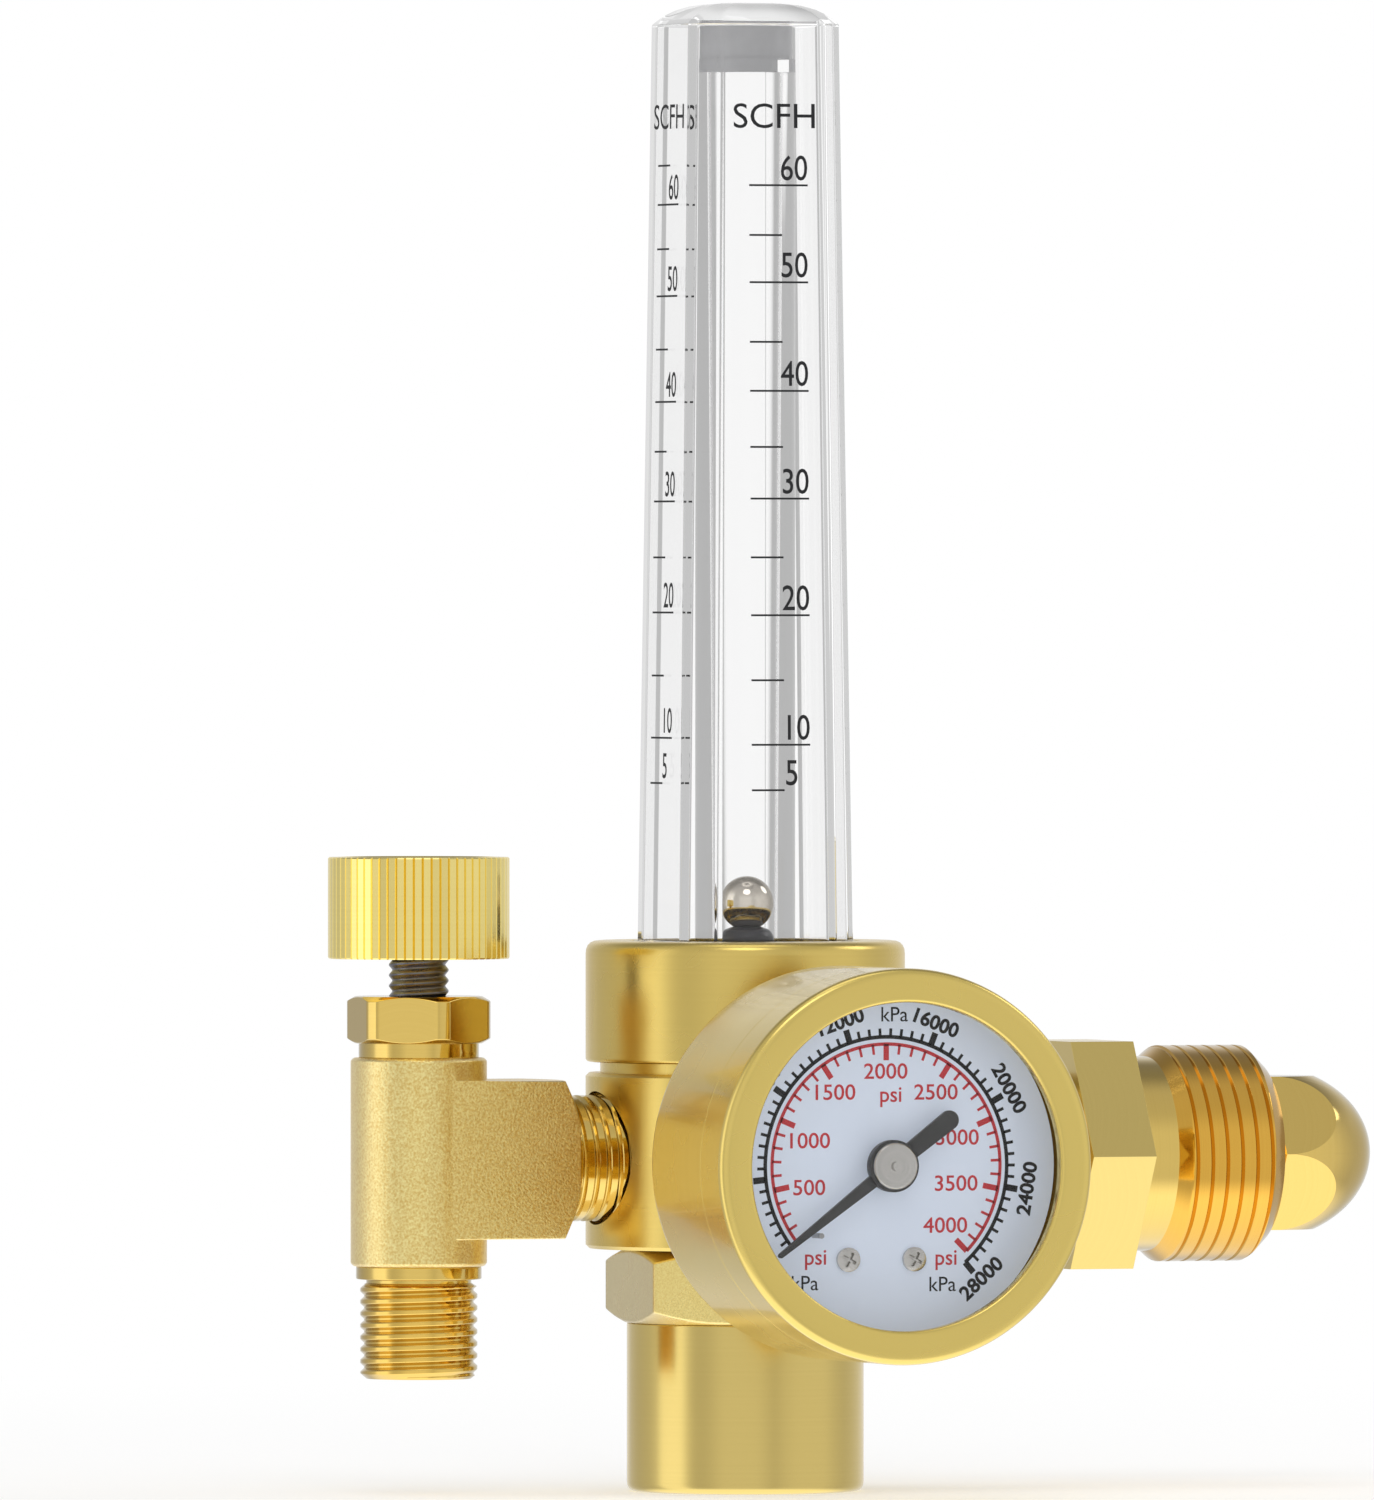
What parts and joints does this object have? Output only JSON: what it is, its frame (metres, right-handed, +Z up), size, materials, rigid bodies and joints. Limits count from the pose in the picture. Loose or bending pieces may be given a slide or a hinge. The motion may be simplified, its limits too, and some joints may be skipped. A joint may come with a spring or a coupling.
{
  "type": "argon flowmeter regulator",
  "caption": "Gas cylinder regulator with a clear flow tube, a round pressure gauge, a male inlet nut and a side valve with a fluted knob.",
  "frame": {"origin": "centre of the bonnet's flat lower end, on the flow tube's axis", "axes": "+Z up the flow tube, +X out of the cylinder inlet, -Y out of the gauge's dial; the outlet valve stands at -X"},
  "size_m": [0.1242, 0.0703, 0.1676],
  "materials": {
    "satin_brass": "satin turned brass",
    "bright_brass": "bright machined brass",
    "cast_brass": "sandblasted cast brass",
    "fluted_brass": "bright fluted brass",
    "gilt_steel": "gold-coloured lacquered brass",
    "clear_plastic": "clear polycarbonate",
    "grey_plastic": "grey moulded plastic",
    "dark_plastic": "dark grey moulded plastic",
    "dark_steel": "blackened steel",
    "steel": "spring and pin steel",
    "bright_steel": "polished steel",
    "rubber": "black nitrile",
    "fibre": "red fibre gasket",
    "bronze": "porous sintered bronze",
    "dial_white": "printed pale grey enamel",
    "pointer_black": "matt black"
  },
  "bodies": {
    "root": {"bonnet": "satin_brass", "bonnet_seal": "fibre", "range_spring": "steel", "nozzle": "bright_brass", "poppet_spring": "steel", "regulator_body": "satin_brass", "inlet_filter": "bronze", "inlet_nipple": "bright_brass", "tube_collar": "satin_brass", "collar_gasket": "fibre", "tube_seal": "rubber", "flow_tube": "clear_plastic", "ball_seat": "dark_plastic", "tube_cap": "grey_plastic", "tube_cover": "clear_plastic", "cover_seal": "rubber", "bourdon_tube": "bronze", "gauge_socket": "bright_brass", "gauge_case": "gilt_steel", "gauge_bezel": "gilt_steel", "gauge_lens": "clear_plastic", "gauge_dial": "dial_white", "dial_screws": "bright_steel", "stop_pin": "steel", "movement_frame": "bright_brass", "valve_body": "cast_brass", "side_nipple": "bright_brass", "outlet_adapter": "bright_brass", "packing_ring": "dark_plastic", "packing_nut": "bright_brass"},
    "inlet_nut": {"inlet_nut": "bright_brass"},
    "piston": {"piston": "bright_brass", "piston_seal": "rubber", "poppet": "dark_plastic"},
    "ball": {"flow_ball": "bright_steel"},
    "pointer": {"pointer": "pointer_black", "pointer_bush": "bright_steel", "pointer_arbor": "steel"},
    "needle": {"valve_needle": "steel"},
    "spindle": {"valve_stem": "dark_steel", "valve_knob": "fluted_brass"}
  },
  "joints": [
    {"name": "inlet_nut_spin", "type": "hinge", "parent": "root", "child": "inlet_nut", "pos_m": [0.05, 0, 0.03766], "axis": [1, 0, 0], "continuous": true},
    {"name": "piston_slide", "type": "slide", "parent": "root", "child": "piston", "axis": [0, 0, 1], "range_m": [-0.00055, 0], "stiffness_N_per_m": 6000, "deforming": ["range_spring", "poppet_spring"]},
    {"name": "ball_rise", "type": "slide", "parent": "root", "child": "ball", "axis": [0, 0, 1], "range_m": [0, 0.0893]},
    {"name": "pointer_turn", "type": "hinge", "parent": "root", "child": "pointer", "pos_m": [0, -0.045, 0.03766], "axis": [0, 1, 0], "range_deg": [0, 261.8], "stiffness_Nm_per_rad": 0.000005},
    {"name": "needle_lift", "type": "slide", "parent": "root", "child": "needle", "axis": [0, 0, 1], "range_m": [-0.00118, 0.00354]},
    {"name": "knob_turn", "type": "hinge", "parent": "needle", "child": "spindle", "pos_m": [-0.039, 0, 0.06], "axis": [0, 0, 1], "range_deg": [-361, 1081]}
  ],
  "couplings": [
    {"joint": "knob_turn", "follows": "needle_lift", "rad_per_m": 5324.7}
  ]
}
